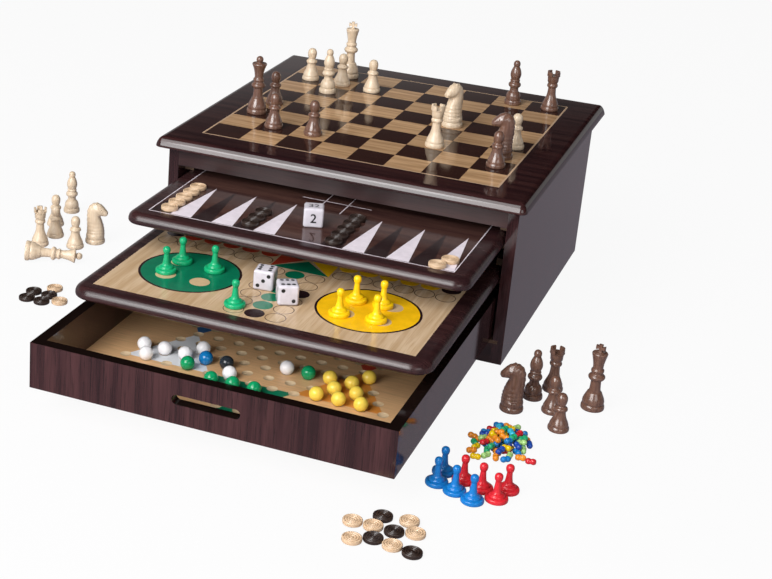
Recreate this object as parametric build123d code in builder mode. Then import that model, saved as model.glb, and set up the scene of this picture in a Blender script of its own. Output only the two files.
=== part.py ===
"""Games compendium: a cabinet with a chessboard top, two sliding game boards and a drawer.

Millimetres, +Z up, +X to the right seen from the front, +Y to the back. The origin is the middle of
the front rail's underside, so the cabinet stands on Z = 0.
"""

from build123d import *
import os

os.makedirs("parts", exist_ok=True)

# ---------------------------------------------------------------- driving dimensions
square = 32.0            # one chess square
panel = 9.0              # every cabinet panel and game board
sheet = 0.6              # printed veneer let into a board
top_width = 320.0        # the chessboard top, square in plan
side_overhang = 8.0      # top past the cabinet's sides
front_overhang = 15.0    # top past the cabinet's front and back
cabinet_height = 136.0   # floor to the underside of the top
top_corner = 6.0         # corner radius of the top in plan
round_flat = 0.4         # flat left in the middle of a rounded edge
inlay_margin = 4.0       # chess veneer past the outer squares

header_height = 18.0     # front rail under the top
rail_height = 17.5       # front rail at the floor
base_panel_t = 3.0       # panel that the drawer runs on
groove_depth = 4.0       # base panel into the side panels
groove_play = 0.1        # groove wider than the base panel

board_gap = 1.0          # game board to side panel, each side
backgammon_headroom = 8.0  # its surface to the header rail, clear of its draughts
backgammon_corner = 13.0
backgammon_margin = 15.0  # veneer's edge to the board's edge
backgammon_held = 177.0   # depth still inside the cabinet as it is set out
ludo_headroom = 21.5      # its surface to the backgammon board, clear of its pegs
ludo_corner = 16.0
ludo_margin = 14.0
ludo_held = 86.0
board_closed_out = 6.0   # front edge ahead of the cabinet when pushed home
back_gap = 3.0           # closed board to back panel
strip_width = 8.0        # runner strips on the side panels
strip_height = 6.0
strip_inset = 6.0        # runner's front end behind the front rails
run_gap = 0.3            # sliding clearance above and below a moving piece

drawer_gap = 2.0         # drawer to side panel, each side
drawer_headroom = 13.2   # drawer's rim to the ludo board's underside
drawer_held = 19.0
drawer_back_gap = 5.0
star_panel = 2.5         # drawer bottom, printed as the star board
rebate = 4.5             # star board into the drawer walls
slot_length = 53.0       # finger slot in the drawer front
slot_height = 7.5
slot_above_middle = 1.0

rook_radius = 8.2        # foot of each kind of chessman
rook_height = 36.5
knight_radius = 9.0
knight_height = 39.5
king_radius = 9.0
king_height = 48.0       # without its cross
cross_height = 6.5
cross_width = 8.0
cross_bar = 2.4
rook_foot = 3.6          # straight side of the foot
knight_foot = 4.4
king_foot = 5.0

draught_radius = 6.9
draught_height = 3.2
draught_gap = 0.3
die = 16.0
die_edge = 1.0

front_scatter_beside = 6.0   # loose draughts' middle past the drawer's side, and ahead of it
front_scatter_ahead = 36.5
left_scatter_beside = 79.0   # past the cabinet's left side, and ahead of its front
left_scatter_ahead = 67.5
loose_rook_beside = 145.0
loose_rook_behind = 38.5     # behind the cabinet's front
loose_king_beside = 83.0
loose_king_ahead = 39.5

# ---------------------------------------------------------------- derived places
body_width = top_width - 2 * side_overhang
body_depth = top_width - 2 * front_overhang
front = -panel / 2
back = front + body_depth
top_surface = cabinet_height + panel
inner = body_width / 2 - panel
board_width = 2 * (inner - board_gap)
inner_back = back - panel
field_centre = front + body_depth / 2
edge_radius = (panel - round_flat) / 2

board_depth = inner_back - back_gap - (front - board_closed_out)
backgammon_surface = cabinet_height - header_height - backgammon_headroom
backgammon_front = front + backgammon_held - board_depth
ludo_surface = backgammon_surface - panel - ludo_headroom
ludo_front = front + ludo_held - board_depth

drawer_width = 2 * (inner - drawer_gap)
drawer_depth = inner_back - drawer_back_gap - front
drawer_bottom = rail_height + base_panel_t + run_gap
drawer_height = ludo_surface - panel - drawer_headroom - drawer_bottom
drawer_front_y = front + drawer_held - drawer_depth


def chess_square(column, row):
    """Centre of a square counted from the front left corner."""
    return (column - 3.5) * square, field_centre + (row - 3.5) * square, top_surface


def keep(piece, name):
    """Label a finished piece and write it under that name."""
    piece.label = name
    export_step(piece, "parts/" + name + ".step")


# ---------------------------------------------------------------- cabinet
with BuildPart() as top_panel:
    with BuildSketch(Plane.XY.offset(cabinet_height)):
        with Locations((0, field_centre)):
            RectangleRounded(top_width, top_width, top_corner)
    extrude(amount=panel)
    fillet(top_panel.edges().group_by(Axis.Z)[-1], edge_radius)
    fillet(top_panel.edges().group_by(Axis.Z)[0], edge_radius)
    with BuildSketch(Plane.XY.offset(top_surface)):
        with Locations((0, field_centre)):
            Rectangle(8 * square + 2 * inlay_margin, 8 * square + 2 * inlay_margin)
    extrude(amount=-sheet, mode=Mode.SUBTRACT)
keep(top_panel.part, "top_panel")

with BuildPart() as chess_sheet:
    with BuildSketch(Plane.XY.offset(top_surface - sheet)):
        with Locations((0, field_centre)):
            Rectangle(8 * square + 2 * inlay_margin, 8 * square + 2 * inlay_margin)
    extrude(amount=sheet)
keep(chess_sheet.part, "chess_sheet")

with BuildPart() as right_side_panel:
    with BuildSketch(Plane.YZ.offset(inner)):
        with Locations((field_centre, cabinet_height / 2)):
            Rectangle(body_depth, cabinet_height)
    extrude(amount=panel)
    with BuildSketch(Plane.YZ.offset(inner)):
        with Locations(((front + inner_back) / 2, rail_height + base_panel_t / 2)):
            Rectangle(inner_back - front, base_panel_t + groove_play)
    extrude(amount=groove_depth + groove_play, mode=Mode.SUBTRACT)
keep(right_side_panel.part, "right_side_panel")

with BuildPart() as left_side_panel:
    add(right_side_panel.part)
    mirror(about=Plane.YZ, mode=Mode.REPLACE)
keep(left_side_panel.part, "left_side_panel")

with BuildPart() as back_panel:
    with BuildSketch(Plane.XZ.offset(-inner_back)):
        with Locations((0, cabinet_height / 2)):
            Rectangle(2 * inner, cabinet_height)
    extrude(amount=-panel)
keep(back_panel.part, "back_panel")

with BuildPart() as header_rail:
    with BuildSketch(Plane.XZ.offset(-front)):
        with Locations((0, cabinet_height - header_height / 2)):
            Rectangle(2 * inner, header_height)
    extrude(amount=-panel)
keep(header_rail.part, "header_rail")

with BuildPart() as base_front_rail:
    with BuildSketch(Plane.XZ.offset(-front)):
        with Locations((0, rail_height / 2)):
            Rectangle(2 * inner, rail_height)
    extrude(amount=-panel)
keep(base_front_rail.part, "base_front_rail")

with BuildPart() as base_panel:
    with BuildSketch(Plane.XY.offset(rail_height)):
        with Locations((0, (front + inner_back) / 2)):
            Rectangle(2 * (inner + groove_depth), inner_back - front)
    extrude(amount=base_panel_t)
keep(base_panel.part, "base_panel")


def runner_pair(surface):
    """Strips on both side panels below and above a board whose upper face is at this height."""
    start = front + panel + strip_inset
    length = inner_back - start
    below = surface - panel - run_gap - strip_height / 2
    above = surface + run_gap + strip_height / 2
    with BuildPart() as strips:
        for height in (below, above):
            with Locations(
                (-inner + strip_width / 2, start + length / 2, height),
                (inner - strip_width / 2, start + length / 2, height),
            ):
                Box(strip_width, length, strip_height)
    return strips.part


keep(runner_pair(backgammon_surface), "backgammon_runners")
keep(runner_pair(ludo_surface), "ludo_runners")

# ---------------------------------------------------------------- sliding boards
def sliding_board(surface, front_edge, corner, margin):
    """A board rounded along its front and sides, square at the back, with a recess for its veneer."""
    middle = front_edge + board_depth / 2
    with BuildPart() as board:
        with BuildSketch(Plane.XY.offset(surface - panel)) as outline:
            with Locations((0, middle)):
                Rectangle(board_width, board_depth)
            fillet(outline.vertices().group_by(Axis.Y)[0], corner)
        extrude(amount=panel)
        for level in (0, -1):
            rim = board.edges().group_by(Axis.Z)[level].sort_by(Axis.Y)
            fillet(rim[:-1], edge_radius)
        with BuildSketch(Plane.XY.offset(surface)):
            with Locations((0, middle)):
                Rectangle(board_width - 2 * margin, board_depth - 2 * margin)
        extrude(amount=-sheet, mode=Mode.SUBTRACT)
    return board.part


def veneer(surface, front_edge, margin):
    """The printed veneer that fills a board's recess."""
    with BuildPart() as leaf:
        with BuildSketch(Plane.XY.offset(surface - sheet)):
            with Locations((0, front_edge + board_depth / 2)):
                Rectangle(board_width - 2 * margin, board_depth - 2 * margin)
        extrude(amount=sheet)
    return leaf.part


keep(sliding_board(backgammon_surface, backgammon_front, backgammon_corner, backgammon_margin),
     "backgammon_board")
keep(veneer(backgammon_surface, backgammon_front, backgammon_margin), "backgammon_sheet")

keep(sliding_board(ludo_surface, ludo_front, ludo_corner, ludo_margin), "ludo_board")
keep(veneer(ludo_surface, ludo_front, ludo_margin), "ludo_sheet")

# ---------------------------------------------------------------- drawer
wall_x = drawer_width / 2 - panel
wall_back = drawer_front_y + drawer_depth - panel
with BuildPart() as drawer_front:
    with BuildSketch(Plane.XZ.offset(-drawer_front_y)):
        with Locations((0, drawer_bottom + drawer_height / 2)):
            Rectangle(drawer_width, drawer_height)
        with Locations((0, drawer_bottom + drawer_height / 2 + slot_above_middle)):
            SlotOverall(slot_length, slot_height, mode=Mode.SUBTRACT)
    extrude(amount=-panel)
    with Locations((0, drawer_front_y + panel - rebate / 2, drawer_bottom + star_panel / 2)):
        Box(2 * (wall_x + rebate), rebate, star_panel, mode=Mode.SUBTRACT)
keep(drawer_front.part, "drawer_front")

with BuildPart() as drawer_back:
    with BuildSketch(Plane.XZ.offset(-wall_back)):
        with Locations((0, drawer_bottom + drawer_height / 2)):
            Rectangle(2 * wall_x, drawer_height)
    extrude(amount=-panel)
    with Locations((0, wall_back + rebate / 2, drawer_bottom + star_panel / 2)):
        Box(2 * wall_x, rebate, star_panel, mode=Mode.SUBTRACT)
keep(drawer_back.part, "drawer_back")

with BuildPart() as drawer_right_side:
    with BuildSketch(Plane.XZ.offset(-(drawer_front_y + panel))):
        with Locations((wall_x + panel / 2, drawer_bottom + drawer_height / 2)):
            Rectangle(panel, drawer_height)
        with Locations((wall_x + rebate / 2, drawer_bottom + star_panel / 2)):
            Rectangle(rebate, star_panel, mode=Mode.SUBTRACT)
    extrude(amount=-(drawer_depth - panel))
keep(drawer_right_side.part, "drawer_right_side")

with BuildPart() as drawer_left_side:
    add(drawer_right_side.part)
    mirror(about=Plane.YZ, mode=Mode.REPLACE)
keep(drawer_left_side.part, "drawer_left_side")

star_front = drawer_front_y + panel - rebate
star_back = wall_back + rebate
with BuildPart() as star_board:
    with BuildSketch(Plane.XY.offset(drawer_bottom)):
        with Locations((0, (star_front + star_back) / 2)):
            Rectangle(2 * (wall_x + rebate), star_back - star_front)
    extrude(amount=star_panel)
keep(star_board.part, "star_board")


# ---------------------------------------------------------------- chessmen
crown_radius = 0.74 * rook_radius
crown_depth = 0.12 * rook_height
with BuildPart() as rook_build:
    with BuildSketch(Plane.XZ):
        with BuildLine():
            Polyline(
                (0, 0), (rook_radius, 0), (rook_radius, rook_foot),
                (0.76 * rook_radius, 0.28 * rook_height), (0.5 * rook_radius, 0.58 * rook_height),
                (0.66 * rook_radius, 0.62 * rook_height), (0.66 * rook_radius, 0.68 * rook_height),
                (0.58 * rook_radius, 0.71 * rook_height), (crown_radius, rook_height),
                (0.62 * crown_radius, rook_height), (0.62 * crown_radius, rook_height - crown_depth),
                (0, rook_height - crown_depth), close=True,
            )
        make_face()
    revolve(axis=Axis.Z)
    with Locations((0, 0, rook_height - crown_depth / 2)):
        Box(0.42 * crown_radius, 3 * crown_radius, crown_depth, mode=Mode.SUBTRACT)
        Box(3 * crown_radius, 0.42 * crown_radius, crown_depth, mode=Mode.SUBTRACT)
rook = rook_build.part

with BuildPart() as king_build:
    with BuildSketch(Plane.XZ):
        with BuildLine():
            Polyline(
                (0, 0), (king_radius, 0), (king_radius, king_foot),
                (0.74 * king_radius, 0.24 * king_height), (0.45 * king_radius, 0.58 * king_height),
                (0.68 * king_radius, 0.63 * king_height), (0.68 * king_radius, 0.67 * king_height),
                (0.48 * king_radius, 0.71 * king_height), (0.62 * king_radius, 0.95 * king_height),
                (0, king_height), close=True,
            )
        make_face()
    revolve(axis=Axis.Z)
    with Locations((0, 0, king_height + cross_height / 2 - cross_bar / 4)):
        Box(cross_bar, cross_bar, cross_height + cross_bar / 2)
    with Locations((0, 0, king_height + 0.55 * cross_height)):
        Box(cross_width, cross_bar, cross_bar)
king = king_build.part

# the knight is a turned foot under a carved head, nose towards -X
head_thickness = 0.95 * knight_radius
with BuildPart() as knight_build:
    with BuildSketch(Plane.XZ):
        with BuildLine():
            Polyline(
                (0, 0), (knight_radius, 0), (knight_radius, knight_foot),
                (0.86 * knight_radius, 0.19 * knight_height), (0.62 * knight_radius, 0.5 * knight_height),
                (0, 0.5 * knight_height), close=True,
            )
        make_face()
    revolve(axis=Axis.Z)
    with BuildSketch(Plane.XZ.offset(-head_thickness / 2)):
        with BuildLine():
            back_of_neck = Spline(
                (0.86 * knight_radius, 0.28 * knight_height), (0.96 * knight_radius, 0.66 * knight_height),
                (0.72 * knight_radius, 0.9 * knight_height), (0.1 * knight_radius, knight_height),
            )
            Polyline(
                back_of_neck @ 1, (-0.4 * knight_radius, 0.94 * knight_height),
                (-1.0 * knight_radius, 0.8 * knight_height), (-1.02 * knight_radius, 0.71 * knight_height),
                (-0.7 * knight_radius, 0.68 * knight_height), (-0.34 * knight_radius, 0.67 * knight_height),
                (-0.72 * knight_radius, 0.46 * knight_height), (-0.8 * knight_radius, 0.28 * knight_height),
                back_of_neck @ 0,
            )
        make_face()
    extrude(amount=head_thickness)
knight = knight_build.part


def set_out(piece, places, turns=None):
    """The same piece standing at several places, each turned about its own axis."""
    with BuildPart() as group:
        for i, place in enumerate(places):
            with Locations(Location(place, (0, 0, turns[i] if turns else 0))):
                add(piece)
    return group.part


loose_rook = (-body_width / 2 - loose_rook_beside, front + loose_rook_behind, 0)
with BuildPart() as pale_chessmen:
    with Locations(chess_square(1, 6.9)):
        add(king)
    with Locations(Location(loose_rook, (0, 0, 35))):
        add(rook)
keep(pale_chessmen.part, "pale_chessmen")

loose_king = (body_width / 2 + loose_king_beside, front - loose_king_ahead, 0)
with BuildPart() as brown_chessmen:
    with Locations(Location(chess_square(7, 1.85), (0, 0, 20))):
        add(knight)
    with Locations(Location(loose_king, (0, 0, -15))):
        add(king)
keep(brown_chessmen.part, "brown_chessmen")

# ---------------------------------------------------------------- draughts
with BuildPart() as draught_build:
    Cylinder(draught_radius, draught_height, align=(Align.CENTER, Align.CENTER, Align.MIN))
draught = draught_build.part

sheet_half = board_width / 2 - backgammon_margin


def on_point(across, behind, count=1):
    """Places in a column on the backgammon board, from its middle and its front edge."""
    pitch = 2 * draught_radius + draught_gap
    start = backgammon_front + behind * draught_radius
    return [(across * sheet_half, start + i * pitch, backgammon_surface) for i in range(count)]


def scattered(middle, offsets):
    """Places on the floor around a middle, in draught radii."""
    return [(middle[0] + a * draught_radius, middle[1] + b * draught_radius, 0) for a, b in offsets]


keep(set_out(draught, on_point(-0.89, 3.7, 5) + on_point(0.882, 2.97) + on_point(0.93, 5)),
     "board_pale_draughts")
keep(set_out(draught, on_point(-0.346, 4, 3) + on_point(0.213, 3.7, 5)), "board_dark_draughts")

by_drawer = (drawer_width / 2 + front_scatter_beside, drawer_front_y - front_scatter_ahead)
by_cabinet = (-body_width / 2 - left_scatter_beside, front - left_scatter_ahead)
front_pale = [(-3.28, 0.46), (-1.2, 0.55), (-2.28, -2.64), (1.71, 3), (2.9, 1.12), (1.54, -1.97)]
front_dark = [(-0.9, 2.66), (0.94, 0.48), (-0.49, -1.6), (3.62, -2.33)]
left_pale = [(-0.43, 2.86), (1.99, -0.38)]
left_dark = [(-2.26, 0.74), (-2.06, -1.38), (-0.03, 0.65), (0.03, -1.42)]
keep(set_out(draught, scattered(by_drawer, front_pale) + scattered(by_cabinet, left_pale)),
     "floor_pale_draughts")
keep(set_out(draught, scattered(by_drawer, front_dark) + scattered(by_cabinet, left_dark)),
     "floor_dark_draughts")

# ---------------------------------------------------------------- dice
with BuildPart() as die_build:
    Box(die, die, die, align=(Align.CENTER, Align.CENTER, Align.MIN))
    chamfer(die_build.edges(), die_edge)
cube = die_build.part

left_die = (-0.725 * die, ludo_front + 4.7 * die, ludo_surface)
right_die = (0.825 * die, ludo_front + 3.59 * die, ludo_surface)
keep(set_out(cube, [left_die, right_die], [8, 28]), "dice")
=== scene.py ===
"""Finishes and playing pieces of a games compendium box, laid out as one operator for each part of it."""

import math

import bpy
import numpy as np
from bpy.props import FloatProperty, FloatVectorProperty, IntProperty, PointerProperty
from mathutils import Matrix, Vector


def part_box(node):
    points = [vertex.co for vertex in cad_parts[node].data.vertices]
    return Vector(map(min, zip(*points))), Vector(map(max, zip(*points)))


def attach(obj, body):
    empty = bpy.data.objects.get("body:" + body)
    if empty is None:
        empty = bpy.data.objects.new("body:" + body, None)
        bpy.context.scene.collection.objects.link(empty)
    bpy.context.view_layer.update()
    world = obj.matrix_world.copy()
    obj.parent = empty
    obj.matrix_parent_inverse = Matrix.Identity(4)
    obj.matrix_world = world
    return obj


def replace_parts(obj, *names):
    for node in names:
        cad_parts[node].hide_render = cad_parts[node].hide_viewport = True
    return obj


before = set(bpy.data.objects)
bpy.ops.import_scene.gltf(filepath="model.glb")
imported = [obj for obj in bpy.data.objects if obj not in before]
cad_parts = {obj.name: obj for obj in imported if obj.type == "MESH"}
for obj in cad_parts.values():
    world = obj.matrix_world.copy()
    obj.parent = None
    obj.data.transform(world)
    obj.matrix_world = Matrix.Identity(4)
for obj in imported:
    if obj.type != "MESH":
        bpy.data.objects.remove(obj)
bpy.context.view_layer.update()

bl_info = {
    "name": "Games compendium box",
    "version": (1, 0, 0),
    "blender": (4, 5, 0),
    "location": "View3D > Sidebar > Compendium",
    "description": "Dresses a chess, backgammon, ludo and star-board cabinet and sets out its pieces",
    "category": "Object",
}

MM = 0.001
FULL_TURN = 2 * math.pi

# In mm: a square of the chess field, a die, a printed line, and the height of the floor.
SQUARE = 32.0
DIE_EDGE = 16.0
LINE_WIDTH = 0.8
FLOOR = 0.0
ROW_STEP = math.sqrt(3) / 2  # between the rows of the star's dimples, as a share of their pitch

# The camera: the frame, focal length and middle of view in pixels, sensor in mm, place in metres and
# turn in radians.
FRAME_WIDTH, FRAME_HEIGHT = 772, 579
FOCAL = 1639.85
AXIS_X, AXIS_Y = 233.7, 243.66
SENSOR = 36.0
CAMERA_PLACE = (0.39174, -1.21362, 0.57252)
CAMERA_TURN = (1.19300867, -0.05624786, 0.40017405)


def linear(code):
    """Linear red, green and blue of an sRGB hex colour."""
    channels = [int(code[i : i + 2], 16) / 255 for i in (0, 2, 4)]
    return tuple(c / 12.92 if c <= 0.04045 else ((c + 0.055) / 1.055) ** 2.4 for c in channels)


def colour(name, description, code):
    """A colour property whose default is an sRGB hex colour."""
    return FloatVectorProperty(name=name, description=description, subtype="COLOR", size=3, min=0, max=1,
                               default=linear(code))


def length(name, description, millimetres):
    """A length property whose default is given in millimetres."""
    return FloatProperty(name=name, description=description, subtype="DISTANCE", unit="LENGTH", min=0,
                         default=millimetres * MM)


# ---------------------------------------------------------------- sizes and colours
class CompendiumFinishes(bpy.types.PropertyGroup):
    foil: colour("Foil", "Ground of the dark wood-grain foil", "2d191b")
    foil_pore: colour("Foil pores", "Dark streaks of the foil", "1d1112")
    foil_light: colour("Foil streaks", "Light streaks of the foil", "44292a")
    edge_band: colour("Edge band", "Sawn upper edges of the drawer", "140c0a")
    strip: colour("Strip", "Bare wood of the runners", "6b5342")
    light_square: colour("Light squares", "Pale veneer of the chess field", "b28c66")
    dark_square: colour("Dark squares", "Dark veneer of the chess field", "2c1814")
    stringing: colour("Stringing", "Pale line round the chess field", "bfa083")
    walnut: colour("Backgammon ground", "Brown ground of the backgammon print", "543a33")
    point_pale: colour("Pale points", "Pale backgammon points and lines", "e9dfe8")
    point_dark: colour("Dark points", "Dark backgammon points", "281a1b")
    maple: colour("Ludo ground", "Pale ground of the ludo print", "cdb293")
    ink: colour("Ink", "Rings and dark fields of the ludo print", "2a1a1c")
    green_ink: colour("Green ink", "Green home and fields", "0b7050")
    yellow_ink: colour("Yellow ink", "Yellow home and fields", "f2bb14")
    red_ink: colour("Red ink", "Red home and fields", "b3402c")
    blue_ink: colour("Blue ink", "Blue home and fields", "2b5f96")
    star_ground: colour("Star board", "Tan ground of the star board", "e4b685")
    star_white: colour("Star white", "White point of the star board", "e6e8ec")
    star_orange: colour("Star orange", "Orange point of the star board", "d98a3a")
    dimple: colour("Dimple", "Bare wood of the marble dimples", "dcc4a2")
    boxwood: colour("Pale pieces", "Lacquered pale wood", "dac6ad")
    rosewood: colour("Brown pieces", "Lacquered brown wood", "745547")
    ebonised: colour("Dark draughts", "Ebonised dark wood", "33251f")
    dice_white: colour("Dice", "White of the dice", "cbc6ce")
    pip: colour("Pips", "Black of the pips and numbers", "141417")


class CompendiumSizes(bpy.types.PropertyGroup):
    star_pitch: length("Star pitch", "Between two marble dimples in a row", 17.4)
    dimple_radius: length("Dimple radius", "Radius of a marble dimple", 4.3)
    dimple_depth: length("Dimple depth", "Depth of a marble dimple", 1.2)
    marble_radius: length("Marble radius", "Radius of a marble", 5.6)
    ludo_pitch: length("Ludo pitch", "Between two fields of the ludo track", 16.8)
    field_radius: length("Field radius", "Radius of a ludo field", 8.0)
    home_radius: length("Home radius", "Radius of a ludo home", 38.7)
    point_width: length("Point width", "Width of a backgammon point at its foot", 17.9)
    point_length: length("Point length", "Length of a backgammon point", 73.5)
    print_thickness: length("Print thickness", "Thickness of screen-printed ink", 0.06)
    heap_count: IntProperty(name="Pegs in the heap", description="Small pegs lying in the heap", min=1,
                            default=78)


# ---------------------------------------------------------------- surfaces
# A part is its points in mm and a list of face arrays, each with one row of corners for a face.
def between_rows(rows, columns):
    """Four-sided faces between the neighbouring rows of a grid whose columns close on themselves."""
    row = np.arange(rows - 1)[:, None] * columns
    this = np.arange(columns)[None, :]
    following = (this + 1) % columns
    faces = [row + this, row + following, row + columns + following, row + columns + this]
    return np.stack(faces, -1).reshape(-1, 4)


def fan(first, columns, tip):
    """Three-sided faces from a closed row of points to a tip, seen from the side of the tip."""
    this = np.arange(columns)
    return np.stack([this + first, (this + 1) % columns + first, np.full(columns, tip)], 1)


def at_height(outline, height):
    """The points of a flat outline at a height."""
    return np.column_stack([outline, np.full(len(outline), height)])


def through(points, steps=4):
    """Profile through rows of radius and height: a Catmull-Rom curve from corner to corner, so each span
    is a cubic whose slope at a point is half the step between its neighbours. Corners have a third
    number, 1, in their row."""
    points = np.array([(*row, 0)[:3] for row in points], float)
    corners = np.flatnonzero(points[:, 2] > 0)
    run = [points[:1, :2]]
    for first, last in zip(corners[:-1], corners[1:]):
        section = points[first : last + 1, :2]
        if len(section) == 2:
            run.append(section[1:])
            continue
        padded = np.vstack([2 * section[0] - section[1], section, 2 * section[-1] - section[-2]])
        t = np.arange(1, steps + 1)[None, :, None] / steps
        a, b, c, d = (padded[i : len(padded) - 3 + i, None, :] for i in range(4))
        curve = 2 * b + (c - a) * t + (2 * a - 5 * b + 4 * c - d) * t**2 + (3 * b - a - 3 * c + d) * t**3
        run.append(0.5 * curve.reshape(-1, 2))
    return np.vstack(run)


def turned(profile, segments=40, notches=None):
    """A profile of radius r and height z carried round a full circle, as (r cos a, r sin a, z). Its first
    and last points lie on the axis and close the surface. Notches, a pair of height and floor, lower what
    stands above that height to the floor in four even gaps, as a rook's battlements are sawn."""
    profile = np.asarray(profile, float)
    angle = np.arange(segments) / segments * FULL_TURN
    if notches:
        # degrees from the middle of each gap, with the two sides of each saw cut a degree apart
        steps = (-19, -18, -9, 0, 9, 18, 19, 32, 45, 58)
        angle = np.radians(np.add.outer(np.arange(4) * 90, steps).ravel())
        segments = len(angle)
    ring = profile[1:-1]
    radius = np.repeat(ring[:, :1], segments, 1)
    height = np.repeat(ring[:, 1:], segments, 1)
    if notches:
        sawn = np.abs((np.degrees(angle) + 45) % 90 - 45) < 18.5
        height = np.where(sawn[None, :] & (height > notches[0]), notches[1], height)
    points = np.stack([radius * np.cos(angle), radius * np.sin(angle), height], -1).reshape(-1, 3)
    points = np.vstack([points, [0, 0, profile[0, 1]], [0, 0, profile[-1, 1]]])
    count = len(ring) * segments
    foot = fan(0, segments, count)[:, [1, 0, 2]]
    return points, [between_rows(len(ring), segments), foot, fan(count - segments, segments, count + 1)]


def slab(outline, low, high):
    """A flat outline, given anticlockwise from above, with straight walls between two heights."""
    outline = np.asarray(outline, float)
    count = len(outline)
    this = np.arange(count)
    points = np.vstack([at_height(outline, low), at_height(outline, high)])
    return points, [between_rows(2, count), this[::-1][None, :], (this + count)[None, :]]


def circle(radius, segments, middle):
    """Points (x + r cos a, y + r sin a) round a circle, anticlockwise from above."""
    angle = np.arange(segments) / segments * FULL_TURN
    return np.column_stack([middle[0] + radius * np.cos(angle), middle[1] + radius * np.sin(angle)])


def hoop(inner, outer, low, high, segments):
    """A flat ring: the corners (r, z) of its section carried round a circle, as (r cos a, r sin a, z)."""
    angle = np.arange(segments) / segments * FULL_TURN
    corners = np.array([(inner, high), (inner, low), (outer, low), (outer, high)])
    radius, height = corners[:, :1], corners[:, 1:]
    points = np.stack([radius * np.cos(angle), radius * np.sin(angle), np.repeat(height, segments, 1)], -1)
    return points.reshape(-1, 3), [between_rows(5, segments) % (4 * segments)]


def around(xs, ys):
    """Points round a rectangle, anticlockwise from the front left, at each of the xs and ys."""
    sides = [(xs, np.full(len(xs), ys[0])), (np.full(len(ys), xs[-1]), ys),
             (xs[::-1], np.full(len(xs), ys[-1])), (np.full(len(ys), xs[0]), ys[::-1])]
    return np.vstack([np.column_stack(side)[:-1] for side in sides])


def rounded_outline(low, high, inset, corners, square_back=False):
    """Points round a rectangle with rounded corners, anticlockwise from the front left, drawn in by the
    inset. Corners holds the radius of the front and of the back corners before it is drawn in."""
    back = 0.0 if square_back else inset
    (x0, y0), (x1, y1) = np.add(low, inset), (high[0] - inset, high[1] - back)
    front, rear = corners
    points = []
    for x, y, radius, start in ((x0, y0, front, 180), (x1, y0, front, 270),
                                (x1, y1, rear, 0), (x0, y1, rear, 90)):
        radius = max(radius - inset, 0.2)
        angle = np.radians(start + np.linspace(0, 90, 13))
        middle_x = x + radius * np.sign(low[0] + high[0] - 2 * x)
        middle_y = y + radius * np.sign(low[1] + high[1] - 2 * y)
        points.append(np.column_stack([middle_x + radius * np.cos(angle), middle_y + radius * np.sin(angle)]))
    return np.vstack(points)


def moulded_board(low, high, recess_low, recess_high, corners, tall, small, sweep, square_back):
    """A board with a recess for its veneer and a moulded edge: most of a quarter of an ellipse under the
    top face, x = a(1 - sin t / sin T) and z = -b(1 - cos t) / (1 - cos T) for t from 0 to T, and a small
    quarter round over the bottom face."""
    broad = 7.0
    thick = high[2] - low[2]
    steps = np.radians(np.linspace(0, sweep, 10))
    whole_x, whole_z = math.sin(steps[-1]), 1 - math.cos(steps[-1])
    edge = [(broad + 0.5, 0.0)]
    edge += [(broad * (1 - math.sin(t) / whole_x), tall * (1 - math.cos(t)) / whole_z) for t in steps]
    quarter = np.radians((0, 30, 60, 90))
    edge += [(small * (1 - math.cos(t)), thick - small * (1 - math.sin(t))) for t in quarter]
    edge.append((small + 0.5, thick))
    well = rounded_outline(recess_low[:2], recess_high[:2], 0.0, (0.2, 0.2))
    rows = [at_height(well, recess_low[2]), at_height(well, high[2])]
    rows += [at_height(rounded_outline(low[:2], high[:2], inset, corners, square_back), high[2] - drop)
             for inset, drop in edge]
    count = len(well)
    first = np.arange(count)
    last = first + (len(rows) - 1) * count
    return np.vstack(rows), [between_rows(len(rows), count)[:, ::-1], first[None, :], last[::-1][None, :]]


def placed(part, where, turn=0.0, pitch=0.0):
    """The part pitched about its own Y axis, turned about the upright and moved, in degrees and mm."""
    points, faces = part
    a, b = math.radians(turn), math.radians(pitch)
    about_z = np.array([[math.cos(a), -math.sin(a), 0], [math.sin(a), math.cos(a), 0], [0, 0, 1]])
    about_y = np.array([[math.cos(b), 0, math.sin(b)], [0, 1, 0], [-math.sin(b), 0, math.cos(b)]])
    return points @ (about_z @ about_y).T + np.asarray(where, float), faces


def joined(parts):
    """Several parts as one, each with its own points."""
    points, faces, start = [], [], 0
    for part_points, part_faces in parts:
        points.append(part_points)
        faces += [face + start for face in part_faces]
        start += len(part_points)
    return np.vstack(points), faces


def welded(part):
    """The part with points in the same place made one."""
    points, faces = part
    _, first, same = np.unique(np.round(points, 4), axis=0, return_index=True, return_inverse=True)
    same = same.ravel()
    return points[first], [same[face] for face in faces]


def mesh_points(mesh):
    """A mesh's points as rows of x, y and z."""
    points = np.empty(len(mesh.vertices) * 3, np.float32)
    mesh.vertices.foreach_get("co", points)
    return points.reshape(-1, 3).astype(float)


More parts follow.
